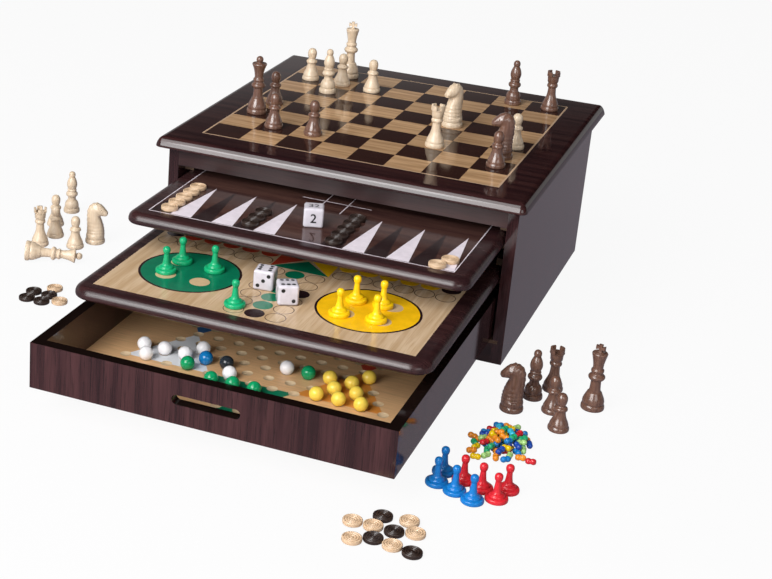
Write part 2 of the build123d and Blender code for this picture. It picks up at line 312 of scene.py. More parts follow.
def show(name, finished_parts, body, smooth=35):
    """One object from (part, material) pairs in mm, riding on a body."""
    points, corners, sides, which, finishes, at = [], [], [], [], [], 0
    for (part_points, part_faces), finish in finished_parts:
        if finish not in finishes:
            finishes.append(finish)
        for face in part_faces:
            corners.append((face + at).ravel())
            sides.append(np.full(len(face), face.shape[1]))
            which.append(np.full(len(face), finishes.index(finish)))
        points.append(part_points)
        at += len(part_points)
    points, corners, sides = np.vstack(points) * MM, np.concatenate(corners), np.concatenate(sides)
    mesh = bpy.data.meshes.new(name)
    mesh.vertices.add(len(points))
    mesh.loops.add(len(corners))
    mesh.polygons.add(len(sides))
    for finish in finishes:
        mesh.materials.append(finish)
    mesh.vertices.foreach_set("co", points.astype(np.float32).ravel())
    mesh.loops.foreach_set("vertex_index", corners.astype(np.int32))
    mesh.polygons.foreach_set("loop_start", (np.cumsum(sides) - sides).astype(np.int32))
    mesh.polygons.foreach_set("material_index", np.concatenate(which).astype(np.int32))
    mesh.polygons.foreach_set("use_smooth", np.ones(len(sides), bool))
    mesh.update(calc_edges=True)
    mesh.set_sharp_from_angle(angle=math.radians(smooth))
    piece = bpy.data.objects.new(name, mesh)
    bpy.context.scene.collection.objects.link(piece)
    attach(piece, body)
    return piece


def finish_nodes(material, *node_names):
    """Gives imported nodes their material."""
    for name in node_names:
        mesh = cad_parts[name].data
        mesh.materials.clear()
        mesh.materials.append(material)


def box_mm(node_name):
    """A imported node's lowest and highest corners in mm."""
    low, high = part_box(node_name)
    return np.array(low) / MM, np.array(high) / MM


# ---------------------------------------------------------------- materials
def feed(tree, node, inputs):
    """Sets a node's inputs, by number or by name. Each takes a value, a colour without its alpha, or a
    node or socket that feeds it. A node feeds with the first output that its settings leave in use."""
    for key, value in inputs.items():
        named = [socket for socket in node.inputs if socket.enabled and socket.name == key]
        target = named[0] if named else node.inputs[key]
        if isinstance(value, bpy.types.Node):
            value = next(socket for socket in value.outputs if socket.enabled)
        if isinstance(value, bpy.types.NodeSocket):
            tree.links.new(value, target)
        else:
            target.default_value = (*value, 1.0) if target.type == "RGBA" else value


def add(tree, kind, inputs=None, **settings):
    """Adds one shader node with its settings, values and links."""
    made = tree.nodes.new("ShaderNode" + kind)
    for key, value in settings.items():
        setattr(made, key, value)
    feed(tree, made, inputs or {})
    return made


def blank(name):
    """A node material with its tree and shader, ready for colour, roughness and bump."""
    material = bpy.data.materials.new(name)
    material.use_nodes = True
    tree = material.node_tree
    return material, tree, tree.nodes["Principled BSDF"]


def shaded(value, strength):
    """A colour made stronger or weaker."""
    return tuple(c * strength for c in value)


def grain(tree, axis, width, length_along, detail):
    """Noise whose cells are `width` across and `length_along` along one axis, in mm of Object space."""
    place = add(tree, "TexCoord").outputs["Object"]
    stretch = [1000 / width] * 3
    stretch[axis] = 1000 / length_along
    mapped = add(tree, "Mapping", {"Vector": place, "Scale": stretch})
    return add(tree, "TexNoise", {"Vector": mapped, "Scale": 1.0, "Detail": detail})


def veined(tree, noise, start, end, ground, vein, most=1.0):
    """Colour that goes from the ground to the vein as the noise rises from start to end."""
    share = add(tree, "MapRange", {"Value": noise, "From Min": start, "From Max": end, "To Max": most})
    return add(tree, "Mix", {"Factor": share, "A": ground, "B": vein}, data_type="RGBA")


def clouded(tree, value, per_metre, detail, dark, light):
    """A colour in soft clouds, from a darker to a lighter strength of it. With 160 to 300 clouds to a
    metre, they are 6 to 3 mm apart."""
    place = add(tree, "TexCoord").outputs["Object"]
    cloud = add(tree, "TexNoise", {"Vector": place, "Scale": per_metre, "Detail": detail})
    return veined(tree, cloud, 0.3, 0.7, shaded(value, dark), shaded(value, light))


# Spacing of the foil's grain in mm, across and along: fine pores, then broad bands.
PORE_WIDTH, PORE_LENGTH = 0.9, 26.0
BAND_WIDTH, BAND_LENGTH = 7.0, 160.0


def wood_foil(name, ground, pore, light, axis, gloss=(0.07, 0.11), edge_band=None):
    """Wood-grain paper foil on fibreboard under a satin-gloss lacquer. The eye sees broad soft bands and
    long dark pores in a brown ground, and a smooth lacquer that mirrors pale surroundings at a low angle.
    The pores are drawn about twice as wide as real ones, so that they show. An edge band colours what
    faces up."""
    material, tree, shader = blank(name)
    pores = grain(tree, axis, PORE_WIDTH, PORE_LENGTH, 4.0)
    bands = grain(tree, axis, BAND_WIDTH, BAND_LENGTH, 2.0)
    wood = veined(tree, bands, 0.36, 0.66, ground, light)
    wood = veined(tree, pores, 0.48, 0.72, wood, pore, 0.8)
    if edge_band:
        facing = add(tree, "TexCoord").outputs["Normal"]
        upward = add(tree, "SeparateXYZ", {0: facing}).outputs["Z"]
        top = add(tree, "Math", {0: upward, 1: 0.7}, operation="GREATER_THAN")
        wood = add(tree, "Mix", {"Factor": top, "A": wood, "B": edge_band}, data_type="RGBA")
    rough = add(tree, "MapRange", {"Value": bands, "To Min": gloss[0], "To Max": gloss[1]})
    feed(tree, shader, {"Base Color": wood, "Roughness": rough, "IOR": 1.52})
    return material


def chess_veneer(look):
    """Printed maple and wenge squares under gloss lacquer: straight fine grain in both, a shade of
    difference from square to square, and a thin pale stringing round the field."""
    material, tree, shader = blank("gloss_maple_and_wenge_squares")
    low, high = box_mm("chess_sheet")
    middle = (low + high) / 2
    square = SQUARE * MM
    origin = (middle[0] * MM - 4 * square, middle[1] * MM - 4 * square, 0)
    place = add(tree, "TexCoord").outputs["Object"]
    squares = add(tree, "VectorMath", {0: place, 1: origin}, operation="SUBTRACT")
    squares = add(tree, "VectorMath", {0: squares, 1: (1 / square, 1 / square, 0)}, operation="MULTIPLY")
    cell = add(tree, "VectorMath", {0: squares}, operation="FLOOR")
    parts = add(tree, "SeparateXYZ", {0: cell})
    total = add(tree, "Math", {0: parts.outputs["X"], 1: parts.outputs["Y"]}, operation="ADD")
    odd = add(tree, "Math", {0: total, 1: 2.0}, operation="FLOORED_MODULO")
    pores = grain(tree, 0, 1.0, 30.0, 4.0)
    rays = grain(tree, 0, 4.0, 70.0, 2.0)
    pale = veined(tree, pores, 0.42, 0.68, look.light_square, shaded(look.light_square, 0.58))
    pale = veined(tree, rays, 0.4, 0.66, pale, linear("d2ab82"), 0.7)
    shade = add(tree, "TexWhiteNoise", {"Vector": cell}, noise_dimensions="3D")
    tint = add(tree, "MapRange", {"Value": shade, "To Min": 0.9, "To Max": 1.08})
    pale = add(tree, "VectorMath", {0: pale, 1: tint}, operation="MULTIPLY")
    dark = veined(tree, pores, 0.45, 0.7, look.dark_square, shaded(look.dark_square, 1.7))
    field = add(tree, "Mix", {"Factor": odd, "A": dark, "B": pale}, data_type="RGBA")
    centred = add(tree, "VectorMath", {0: squares, 1: (4, 4, 0)}, operation="SUBTRACT")
    reach = add(tree, "VectorMath", {0: centred}, operation="ABSOLUTE")
    reach = add(tree, "SeparateXYZ", {0: reach})
    far = add(tree, "Math", {0: reach.outputs["X"], 1: reach.outputs["Y"]}, operation="MAXIMUM")
    for edge, beyond in ((4.0, look.stringing), (4.0 + 1.6 / SQUARE, look.foil)):
        outside = add(tree, "Math", {0: far, 1: edge}, operation="GREATER_THAN")
        field = add(tree, "Mix", {"Factor": outside, "A": field, "B": beyond}, data_type="RGBA")
    feed(tree, shader, {"Base Color": field, "Roughness": 0.1, "IOR": 1.45})
    return material


def printed_wood(name, ground, streak, axis, roughness, contrast=0.6, band=9.0):
    """Printed wood veneer under gloss lacquer: fine straight pores over soft bands of a second shade."""
    material, tree, shader = blank(name)
    wood = veined(tree, grain(tree, axis, band, 120.0, 2.0), 0.35, 0.7, ground, streak, contrast)
    wood = veined(tree, grain(tree, axis, 0.8, 24.0, 4.0), 0.48, 0.74, wood, streak, contrast)
    feed(tree, shader, {"Base Color": wood, "Roughness": roughness, "IOR": 1.45})
    return material


def printing_ink(name, value, roughness=0.2):
    """Screen-printed ink over lacquer: an even colour that lets a little of the wood's unevenness
    through, with a satin surface."""
    material, tree, shader = blank(name)
    feed(tree, shader, {"Base Color": clouded(tree, value, 160.0, 3.0, 0.92, 1.05), "Roughness": roughness})
    return material


def lacquered_wood(name, ground, streak, roughness, coat, axis=2):
    """Turned hardwood under lacquer: fine streaks along the grain, slightly darker pores, and a clear
    coat that gives small bright highlights."""
    material, tree, shader = blank(name)
    wood = veined(tree, grain(tree, axis, 1.6, 18.0, 3.0), 0.35, 0.7, ground, streak)
    pores = grain(tree, axis, 0.5, 5.0, 2.0)
    bump = add(tree, "Bump", {"Height": pores, "Strength": 0.08, "Distance": 0.0001})
    feed(tree, shader, {"Base Color": wood, "Roughness": roughness, "Coat Weight": coat,
                        "Coat Roughness": 0.12, "Normal": bump})
    return material


def moulded_plastic(name, value, roughness, glow):
    """Injection-moulded polystyrene: an even colour with very faint flow marks, a smooth gloss surface
    and a little light passing under the skin."""
    material, tree, shader = blank(name)
    feed(tree, shader, {"Base Color": clouded(tree, value, 220.0, 2.0, 0.93, 1.04), "Roughness": roughness,
                        "Subsurface Weight": glow, "Subsurface Radius": (0.002, 0.002, 0.002),
                        "Subsurface Scale": 1.0})
    return material


def tinted_plastic(name, value):
    """Tinted clear polystyrene: light passes through and takes the colour, so thin ends look brighter
    than the middle, under a smooth gloss."""
    material, tree, shader = blank(name)
    feed(tree, shader, {"Base Color": clouded(tree, value, 300.0, 2.0, 0.85, 1.15), "Roughness": 0.15,
                        "Transmission Weight": 0.2, "IOR": 1.5})
    return material


def star_print(look, middle, pitch):
    """Tan printed board with a six-pointed star, each point in its own colour. A place belongs to a
    point where it lies past the inner hexagon's side and inside the two long sides that meet there."""
    material, tree, shader = blank("satin_star_print")
    place = add(tree, "TexCoord").outputs["Object"]
    centre = (middle[0] * MM, middle[1] * MM, 0)
    spot = add(tree, "VectorMath", {0: place, 1: centre}, operation="SUBTRACT")
    flat = add(tree, "VectorMath", {0: spot, 1: (1, 1, 0)}, operation="MULTIPLY")
    far = add(tree, "VectorMath", {0: flat}, operation="LENGTH")
    parts = add(tree, "SeparateXYZ", {0: flat})
    angle = add(tree, "Math", {0: parts.outputs["Y"], 1: parts.outputs["X"]}, operation="ARCTAN2")
    sixths = add(tree, "Math", {0: angle, 1: math.pi / 3}, operation="DIVIDE")
    sector = add(tree, "Math", {0: sixths}, operation="FLOOR")
    aside = add(tree, "Math", {0: sixths, 1: sector}, operation="SUBTRACT")
    for operation, value in (("SUBTRACT", 0.5), ("ABSOLUTE", 0.0), ("MULTIPLY", math.pi / 3)):
        aside = add(tree, "Math", {0: aside, 1: value}, operation=operation)
    across = add(tree, "Math", {0: math.pi / 3, 1: aside}, operation="SUBTRACT")
    side = pitch * MM * 4 * ROW_STEP
    tests = []
    for bearing, test in ((aside, "GREATER_THAN"), (across, "LESS_THAN")):
        reach = add(tree, "Math", {0: bearing}, operation="COSINE")
        reach = add(tree, "Math", {0: reach, 1: far}, operation="MULTIPLY")
        tests.append(add(tree, "Math", {0: reach, 1: side}, operation=test))
    point = add(tree, "Math", {0: tests[0], 1: tests[1]}, operation="MULTIPLY")
    turn = add(tree, "MapRange", {"Value": sector, "From Min": -3.0, "From Max": 3.0})
    turn = add(tree, "Math", {0: turn, 1: 0.02}, operation="ADD")
    ramp = add(tree, "ValToRGB", {0: turn})
    ramp.color_ramp.interpolation = "CONSTANT"
    stops = ramp.color_ramp.elements
    order = [look.star_white, look.green_ink, look.star_orange, look.red_ink, look.ink, look.blue_ink]
    for i, value in enumerate(order):
        stop = stops[i] if i < len(stops) else stops.new(i / 6)
        stop.position = i / 6
        stop.color = (*value, 1.0)
    pores = grain(tree, 0, 1.0, 22.0, 4.0)
    ground = veined(tree, pores, 0.4, 0.7, look.star_ground, shaded(look.star_ground, 0.8))
    board = add(tree, "Mix", {"Factor": point, "A": ground, "B": ramp}, data_type="RGBA")
    feed(tree, shader, {"Base Color": board, "Roughness": 0.35})
    return material


# ---------------------------------------------------------------- turned pieces
# Each row is radius and height in mm, with a 1 where the profile has a corner.
PROFILES = {
    "pawn": [(0, 0, 1), (7.6, 0, 1), (8.1, 0.7), (8.1, 2.4), (7.7, 3.4, 1), (7.2, 4.0, 1), (7.2, 5.2),
        (6.4, 7.4), (5.2, 10.0), (4.3, 13), (3.9, 16.2, 1), (4.9, 16.7), (5.2, 17.8), (4.8, 18.9),
        (4.1, 19.4, 1), (3.5, 19.9), (3.2, 20.8), (3.8, 22.4), (4.2, 24.6), (4.1, 27.2), (2.9, 29.5),
        (1.4, 30.4), (0, 30.6, 1)],
    "rook": [(0, 0, 1), (7.7, 0, 1), (8.2, 0.7), (8.2, 2.4), (7.8, 3.4, 1), (7.4, 4.0, 1), (7.4, 5.6),
        (6.4, 8.2), (5.1, 11.2), (4.0, 15), (3.5, 21.4, 1), (4.4, 21.9), (4.9, 23.2), (4.6, 24.5),
        (4.2, 25.2, 1), (4.3, 26.0), (4.9, 27.0, 1), (5.2, 31.6, 1), (5.8, 32.2, 1), (6.0, 36.5, 1),
        (4.3, 36.5, 1), (4.2, 32.6, 1), (0, 32.6, 1)],
    "knight": [(0, 0, 1), (8.7, 0, 1), (9.2, 0.8), (9.2, 2.8), (8.8, 3.9, 1), (8.2, 4.6, 1), (8.6, 6.0),
        (8.4, 8.2), (7.4, 9.6, 1), (5.6, 10.2, 1), (0, 10.2, 1)],
    "bishop": [(0, 0, 1), (7.3, 0, 1), (7.8, 0.6), (7.8, 2.8), (7.4, 4.2, 1), (6.5, 4.8, 1), (6.8, 6.0),
        (6.6, 8.4), (5.8, 10.6), (4.9, 11.8, 1), (4.2, 12.2, 1), (3.8, 14.4), (3.9, 16.2, 1), (4.9, 16.7),
        (5.7, 18.2), (5.4, 19.8), (4.4, 20.8, 1), (4.0, 21.6, 1), (4.4, 22.1), (4.4, 23.1), (3.8, 23.9, 1),
        (4.4, 25.5), (5.0, 28.2), (4.5, 31.6), (3.2, 34.8), (2.4, 36.0, 1), (2.9, 36.5), (3.1, 37.9),
        (2.8, 39.8), (1.5, 41.2), (0, 41.5, 1)],
    "queen": [(0, 0, 1), (8.6, 0, 1), (9.1, 0.7), (9.1, 2.6), (8.7, 3.8, 1), (8.1, 4.5, 1), (8.3, 6.0),
        (7.6, 8.6), (6.3, 11.4), (5.3, 13.8, 1), (4.7, 14.2, 1), (4.2, 17), (3.8, 23, 1), (5.2, 23.5),
        (6.1, 24.9), (6.0, 26.2), (5.0, 27.4, 1), (4.5, 27.9), (4.3, 29, 1), (4.8, 29.6), (4.8, 31),
        (4.0, 32, 1), (3.7, 33), (4.0, 36), (5.0, 40.5), (6.6, 44.4, 1), (6.3, 45.2, 1), (4.6, 44.6),
        (2.8, 45.6), (2.0, 46.4, 1), (2.7, 46.9), (3.1, 48.4), (2.7, 50.2), (1.3, 51.4), (0, 51.6, 1)],
    "king": [(0, 0, 1), (8.6, 0, 1), (9.1, 0.7), (9.1, 2.8), (8.7, 4.0, 1), (8.1, 4.7, 1), (8.5, 6.4),
        (8.0, 9.0), (6.8, 11.8), (5.6, 14.4, 1), (4.7, 14.9, 1), (4.2, 18), (3.9, 24.6, 1), (5.4, 25.1),
        (6.4, 26.6), (6.4, 28.0), (5.2, 29.4, 1), (4.6, 29.9), (4.4, 31, 1), (4.9, 31.6), (5.0, 33.2),
        (4.2, 34.2, 1), (4.0, 35), (4.3, 38.5), (5.2, 43), (6.0, 46.2, 1), (6.1, 47), (5.6, 47.7, 1),
        (4.4, 47.4), (2.4, 48.0), (1.2, 48.4, 1), (0, 48.5, 1)],
    "draught": [(0, 0, 1), (6.4, 0, 1), (6.9, 0.5), (6.9, 2.6), (6.5, 3.15, 1), (5.9, 3.2, 1), (5.5, 2.6, 1),
        (5.1, 2.6, 1), (4.7, 3.15, 1), (4.1, 3.15, 1), (3.7, 2.6, 1), (3.3, 2.6, 1), (2.9, 3.1, 1),
        (2.3, 3.1, 1), (1.9, 2.6, 1), (1.5, 2.6, 1), (1.1, 3.0, 1), (0, 3.05, 1)],
    "ludo pawn": [(0, 0, 1), (7.7, 0, 1), (8.2, 0.5), (8.3, 1.8), (8.0, 3.0), (7.2, 3.5, 1), (5.9, 3.7, 1),
        (5.7, 4.6), (4.7, 5.6), (3.5, 6.4), (2.8, 8.2), (2.3, 11.5), (1.95, 15.4, 1), (2.5, 16.0),
        (3.0, 18.0), (2.7, 19.9), (1.6, 21.0), (0, 21.3, 1)],
    "peg": [(0, -4.0, 1), (1.5, -3.7), (2.3, -2.3), (2.25, -0.9, 1), (1.95, -0.5, 1), (1.95, 0.5, 1),
        (2.25, 0.9, 1), (2.3, 2.3), (1.5, 3.7), (0, 4.0, 1)],
}
# Front and back outline of the knight's neck and head, and half its thickness, nose towards -X.
KNIGHT_HEAD = [(-8.5, 8.2, 8.1, 8.2, 7.8), (-8.4, 11, 7.9, 11, 7.2), (-8.1, 14.2, 7.8, 14, 6.6),
               (-7.3, 17.8, 7.9, 18, 6.1), (-6.1, 21.5, 8.1, 22.5, 5.8), (-4.6, 25.0, 8.1, 27.5, 5.6),
               (-4.6, 26.6, 7.6, 32.4, 5.4), (-5.2, 27.0, 5.2, 36.7, 5.1), (-6.0, 27.1, 1.2, 38.9, 4.7),
               (-7.1, 27.0, -2.9, 38.7, 4.2), (-8.3, 27.0, -6.5, 36.6, 3.6), (-9.6, 27.1, -9.3, 33.7, 3.0),
               (-10.8, 27.6, -11.3, 31.4, 2.3)]


def carved_head(segments=28):
    """Neck and head of a knight. Each section is an oval across the line from the front to the back
    outline, (1 + cos a) / 2 of the way back and |sin a|^0.8 of the half thickness out, and the sections
    follow the outlines as Catmull-Rom curves. The ovals of the neck swell and sink along it as a ringed
    mane, and the last section closes at the muzzle."""
    rows = np.array(KNIGHT_HEAD, float)
    curves = []
    for column in rows.T:
        samples = np.column_stack([column, np.arange(len(rows)), np.zeros(len(rows))])
        samples[[0, -1], 2] = 1
        curves.append(through(samples)[:, :1])
    front_x, front_z, back_x, back_z, thick = curves
    turn = np.arange(segments)[None, :] / segments * FULL_TURN
    count = len(front_x)
    along = np.linspace(0, 1, count)[:, None]
    carved = np.where(along < 0.3, 0.75, np.maximum(np.cos(turn), 0)) * (along < 0.8)
    mane = 0.035 * np.sin(along * FULL_TURN * 13) * carved
    cheek = 0.14 * np.exp(-(((along - 0.7) / 0.09) ** 2)) * np.abs(np.sin(turn)) * (np.cos(turn) < 0.3)
    reach = 0.5 * (1 + np.cos(turn) * (1 + mane))
    x = front_x + (back_x - front_x) * reach
    z = front_z + (back_z - front_z) * reach
    y = thick * np.sign(np.sin(turn)) * np.abs(np.sin(turn)) ** 0.8 * (1 + cheek + mane)
    points = np.stack([x, -y, z], -1).reshape(-1, 3)
    last = len(points)
    points = np.vstack([points, points[:segments].mean(0), points[-segments:].mean(0) + [-0.7, 0, -0.1]])
    foot = fan(0, segments, last)[:, [1, 0, 2]]
    return points, [between_rows(count, segments), foot, fan(last - segments, segments, last + 1)]


def ears_and_eyes():
    """The knight's ears and eyes, small turned beads on its head."""
    ear = turned(through([(0, -1.6, 1), (1.2, -1.6, 1), (1.1, 0), (0.7, 0.9), (0, 1.3, 1)], 3), 12)
    eye = turned(through([(0, -0.4, 1), (0.75, -0.3, 1), (0.6, 0.3), (0, 0.55, 1)], 2), 10)
    ears = [placed(ear, (-0.6, side, 38.0), pitch=-20) for side in (-1.9, 1.9)]
    return ears + [placed(eye, (-5.6, side * 3.9, 33.6), 90 * side, 90) for side in (-1, 1)]


def cross():
    """The king's cross, an outline cut through an upright board."""
    outline = [(1.3, 0.0), (-1.3, 0.0), (-1.2, 2.6), (-3.7, 1.7), (-3.7, 5.0), (-1.2, 4.1), (-1.5, 6.0),
               (1.5, 6.0), (1.2, 4.1), (3.7, 5.0), (3.7, 1.7), (1.2, 2.6)]
    points, faces = slab(outline, -1.15, 1.15)
    return np.column_stack([points[:, 0], -points[:, 2], points[:, 1] * 1.08 + 48.0]), faces


def chessman(kind):
    """A chessman of one kind, standing on the origin."""
    if kind == "rook":
        return turned(through(PROFILES[kind]), notches=(32.55, 32.7))
    body = turned(through(PROFILES[kind]), 48)
    if kind == "knight":
        return joined([body, carved_head(), *ears_and_eyes()])
    if kind == "king":
        return joined([body, cross()])
    return body


def on_square(column, row):
    """Middle of a square counted from the front left corner, on the chess field."""
    low, high = box_mm("chess_sheet")
    middle = (low + high) / 2
    return middle[0] + (column - 3.5) * SQUARE, middle[1] + (row - 3.5) * SQUARE, high[2]


# ---------------------------------------------------------------- star board
def star_middle():
    """Middle of the star, a little behind the middle of the drawer so that its back point just fits."""
    low, high = box_mm("star_board")
    return np.array([1.8, (low[1] + high[1]) / 2 + 3.9])


def in_star(x, y, pitch):
    """Whether a lattice place lies in either of the star's two large triangles."""
    side = 4 * pitch * ROW_STEP + 0.1
    reach = [x * math.cos(a) + y * math.sin(a) for a in np.radians([30, 90, 150, 210, 270, 330])]
    return max(reach[1::2]) < side or max(reach[0::2]) < side


def dimpled_cell(rim, x, y, level, radius, depth):
    """A flat cell of the board with a round hole, and the dimple in the hole: a bowl of z = -d(1 - r^2),
    for r from 1 at its edge to 0 in the middle, whose points lie in line with those of the rim."""
    angle = np.arctan2(rim[:, 1] - y, rim[:, 0] - x)
    share = np.array([1.0, 0.93, 0.75, 0.5, 0.25])[:, None]
    bowl = np.stack([x + radius * share * np.cos(angle), y + radius * share * np.sin(angle),
                     level - depth * (1 - share**2) * np.ones_like(angle)], -1)
    count = len(rim)
    flat = np.vstack([at_height(rim, level), bowl[0]]), [between_rows(2, count)]
    points = np.vstack([bowl.reshape(-1, 3), [x, y, level - depth]])
    return flat, (points, [between_rows(5, count), fan(4 * count, count, 5 * count)])


# ---------------------------------------------------------------- draughts and dice
def disc_middles(node):
    """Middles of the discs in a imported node: points of its lower faces grouped by the disc they ring."""
    radius, clear = 6.9, 7.05
    points = mesh_points(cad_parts[node].data) / MM
    low = points[points[:, 2] < points[:, 2].min() + 0.01]
    middles = []
    while len(low):
        first = low[np.argmin(low[:, 0])]
        near = low[np.hypot(low[:, 0] - first[0] - radius, low[:, 1] - first[1]) < clear]
        middle = (near.min(0) + near.max(0)) / 2
        middles.append(middle)
        low = low[np.hypot(low[:, 0] - middle[0], low[:, 1] - middle[1]) > clear]
    return middles


def rounded_cube(edge, radius=1.9, steps=5):
    """A cube whose edges and corners are rounded: each face grid is pulled to the nearest place of a
    smaller cube, and pushed out from there by the radius."""
    half, inner = edge / 2, edge / 2 - radius
    bend = inner + radius * np.tan(np.linspace(0, math.pi / 4, steps + 1)) / math.tan(math.pi / 4)
    line = np.concatenate([-bend[::-1], bend])
    u, v = np.meshgrid(line, line, indexing="ij")
    count = len(line)
    index = np.arange(count * count).reshape(count, count)
    quads = np.stack([index[:-1, :-1], index[1:, :-1], index[1:, 1:], index[:-1, 1:]], -1).reshape(-1, 4)
    parts = []
    for axis in range(3):
        for sign in (-1, 1):
            face = np.empty((count, count, 3))
            face[..., axis] = sign * half
            face[..., (axis + 1) % 3] = u
            face[..., (axis + 2) % 3] = v
            face = face.reshape(-1, 3)
            core = np.clip(face, -inner, inner)
            out = face - core
            face = core + out / np.linalg.norm(out, axis=1)[:, None] * radius
            parts.append((face, [quads if sign > 0 else quads[:, ::-1]]))
    return welded(joined(parts))


# Turns that bring a mark lying on the top of a cube to each of its sides: matrix rows X, Y, Z.
SIDES = {
    "top": ((1, 0, 0), (0, 1, 0), (0, 0, 1)), "bottom": ((1, 0, 0), (0, -1, 0), (0, 0, -1)),
    "front": ((1, 0, 0), (0, 0, 1), (0, -1, 0)), "back": ((-1, 0, 0), (0, 0, 1), (0, 1, 0)),
    "right": ((0, 1, 0), (0, 0, 1), (1, 0, 0)), "left": ((0, -1, 0), (0, 0, 1), (-1, 0, 0)),
}


def on_side(part, side):
    """A mark drawn flat on the XY plane laid on one side of a die centred on the origin."""
    points, faces = part
    return (points + (0, 0, DIE_EDGE / 2)) @ np.array(SIDES[side], float), faces


def numeral(text, tall):
    """A number as a thin flat mark centred on the origin, in mm."""
    curve = bpy.data.curves.new("numeral_" + text, "FONT")
    curve.body = text
    curve.size = tall
    curve.extrude = 0.05
    curve.offset = 0.012 * tall
    holder = bpy.data.objects.new("numeral_" + text, curve)
    mesh = bpy.data.meshes.new_from_object(holder)
    points = mesh_points(mesh)
    points[:, :2] -= (points[:, :2].min(0) + points[:, :2].max(0)) / 2
    faces = [np.array(tuple(face.vertices))[None, :] for face in mesh.polygons]
    bpy.data.objects.remove(holder)
    bpy.data.curves.remove(curve)
    bpy.data.meshes.remove(mesh)
    return welded((points, faces))


# ---------------------------------------------------------------- operators
class COMPENDIUM_OT_cabinet(bpy.types.Operator):
    """Foil on the cabinet, its top and the boards' frames, and bare wood on the runners"""

    bl_idname = "compendium.cabinet"
    bl_label = "Cabinet"
    bl_options = {"REGISTER", "UNDO"}

    def execute(self, context):
        look = context.scene.compendium_finishes
        ground, light = linear("281517"), linear("3a2120")
        upright = wood_foil("wenge_foil_upright", look.foil, look.foil_pore, look.foil_light, 2)
        across = wood_foil("wenge_foil_across", look.foil, look.foil_pore, linear("3d2424"), 0, (0.24, 0.3))
        dark = wood_foil("wenge_foil_dark", ground, look.foil_pore, light, 0)
        # the front rails' foil: a rougher satin lacquer, with the top's darker ground as painted shade on
        # these rails
        shaded_satin = wood_foil("wenge_foil_satin_painted_shade", ground, look.foil_pore, light, 0, (0.34, 0.4))
        plain = printed_wood("planed_beech", look.strip, shaded(look.strip, 0.7), 1, 0.5)
        finish_nodes(upright, "left_side_panel", "right_side_panel", "back_panel")
        finish_nodes(shaded_satin, "header_rail", "base_front_rail")
        finish_nodes(plain, "base_panel", "backgammon_runners", "ludo_runners")
        finish_nodes(chess_veneer(look), "chess_sheet")
        # body, veneer, front and back corner, height of the broad moulding, round below, sweep in degrees
        for name, body, leaf, corners, edge, foil in (
            ("top_panel", "cabinet", "chess_sheet", (6.0, 6.0), (8.2, 0.7, 70), dark),
            ("backgammon_board", "backgammon", "backgammon_sheet", (13.0, 0.2), (6.6, 1.8, 90), across),
            ("ludo_board", "ludo", "ludo_sheet", (16.0, 0.2), (6.6, 1.8, 90), across),
        ):
            board = moulded_board(*box_mm(name), *box_mm(leaf), corners, *edge, body != "cabinet")
            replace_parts(show(name + "_moulded", [(board, foil)], body), name)
        return {"FINISHED"}


class COMPENDIUM_OT_backgammon(bpy.types.Operator):
    """Brown print of the backgammon board with its points and lines"""

    bl_idname = "compendium.backgammon"
    bl_label = "Backgammon board"
    bl_options = {"REGISTER", "UNDO"}

    def execute(self, context):
        look, size = context.scene.compendium_finishes, context.scene.compendium_sizes
        walnut = printed_wood("gloss_walnut_print", look.walnut, look.foil, 0, 0.13, 0.8)
        finish_nodes(walnut, "backgammon_sheet")
        low, high = box_mm("backgammon_sheet")
        middle = (low[:2] + high[:2]) / 2
        half = (high[:2] - low[:2]) / 2
        top, ink = high[2], size.print_thickness / MM
        width, reach = size.point_width / MM, size.point_length / MM
        foot, reach_x = half[1] - 2.0, half[0] - 0.7
        bar = 2 * reach_x - 12 * width
        pale, dark = [], []
        for i in range(12):
            left = -half[0] + 0.7 + i * width + bar * (i > 5)
            for sign in (-1, 1):
                tip = (left + width / 2, sign * (foot - reach))
                point = [(left, sign * foot), (left + width, sign * foot), tip]
                point = np.array(point if sign < 0 else point[::-1]) + middle
                light = (i % 2 == 1) == (sign < 0)
                (pale if light else dark).append(slab(point, top, top + ink))
        x, y = half[0] - 0.4, half[1] - 0.6
        corners = [(-x, -y), (x, -y), (x, y), (-x, y)]
        strokes = list(zip(corners, corners[1:] + corners[:1]))
        # half lengths of the lines across the bar and along it, and how far they lie from the middle
        across, across_y, along, along_x = 30, 31.5, 54, 10
        for sign in (-1, 1):
            strokes.append(((-across, sign * across_y), (across, sign * across_y)))
            strokes.append(((sign * along_x, -along), (sign * along_x, along)))
        lines = []
        for start, end in strokes:
            a, b = start + middle, end + middle
            side = np.array([a[1] - b[1], b[0] - a[0]]) / np.linalg.norm(b - a) * LINE_WIDTH / 2
            lines.append(slab([a - side, b - side, b + side, a + side], top, top + ink * 0.8))
        pale_ink = printing_ink("pale_screen_print", look.point_pale)
        dark_ink = printing_ink("dark_screen_print", look.point_dark)
        points = [(joined(pale), pale_ink), (joined(dark), dark_ink)]
        show("backgammon_points", points, "backgammon")
        show("backgammon_lines", [(joined(lines), pale_ink)], "backgammon")
        return {"FINISHED"}


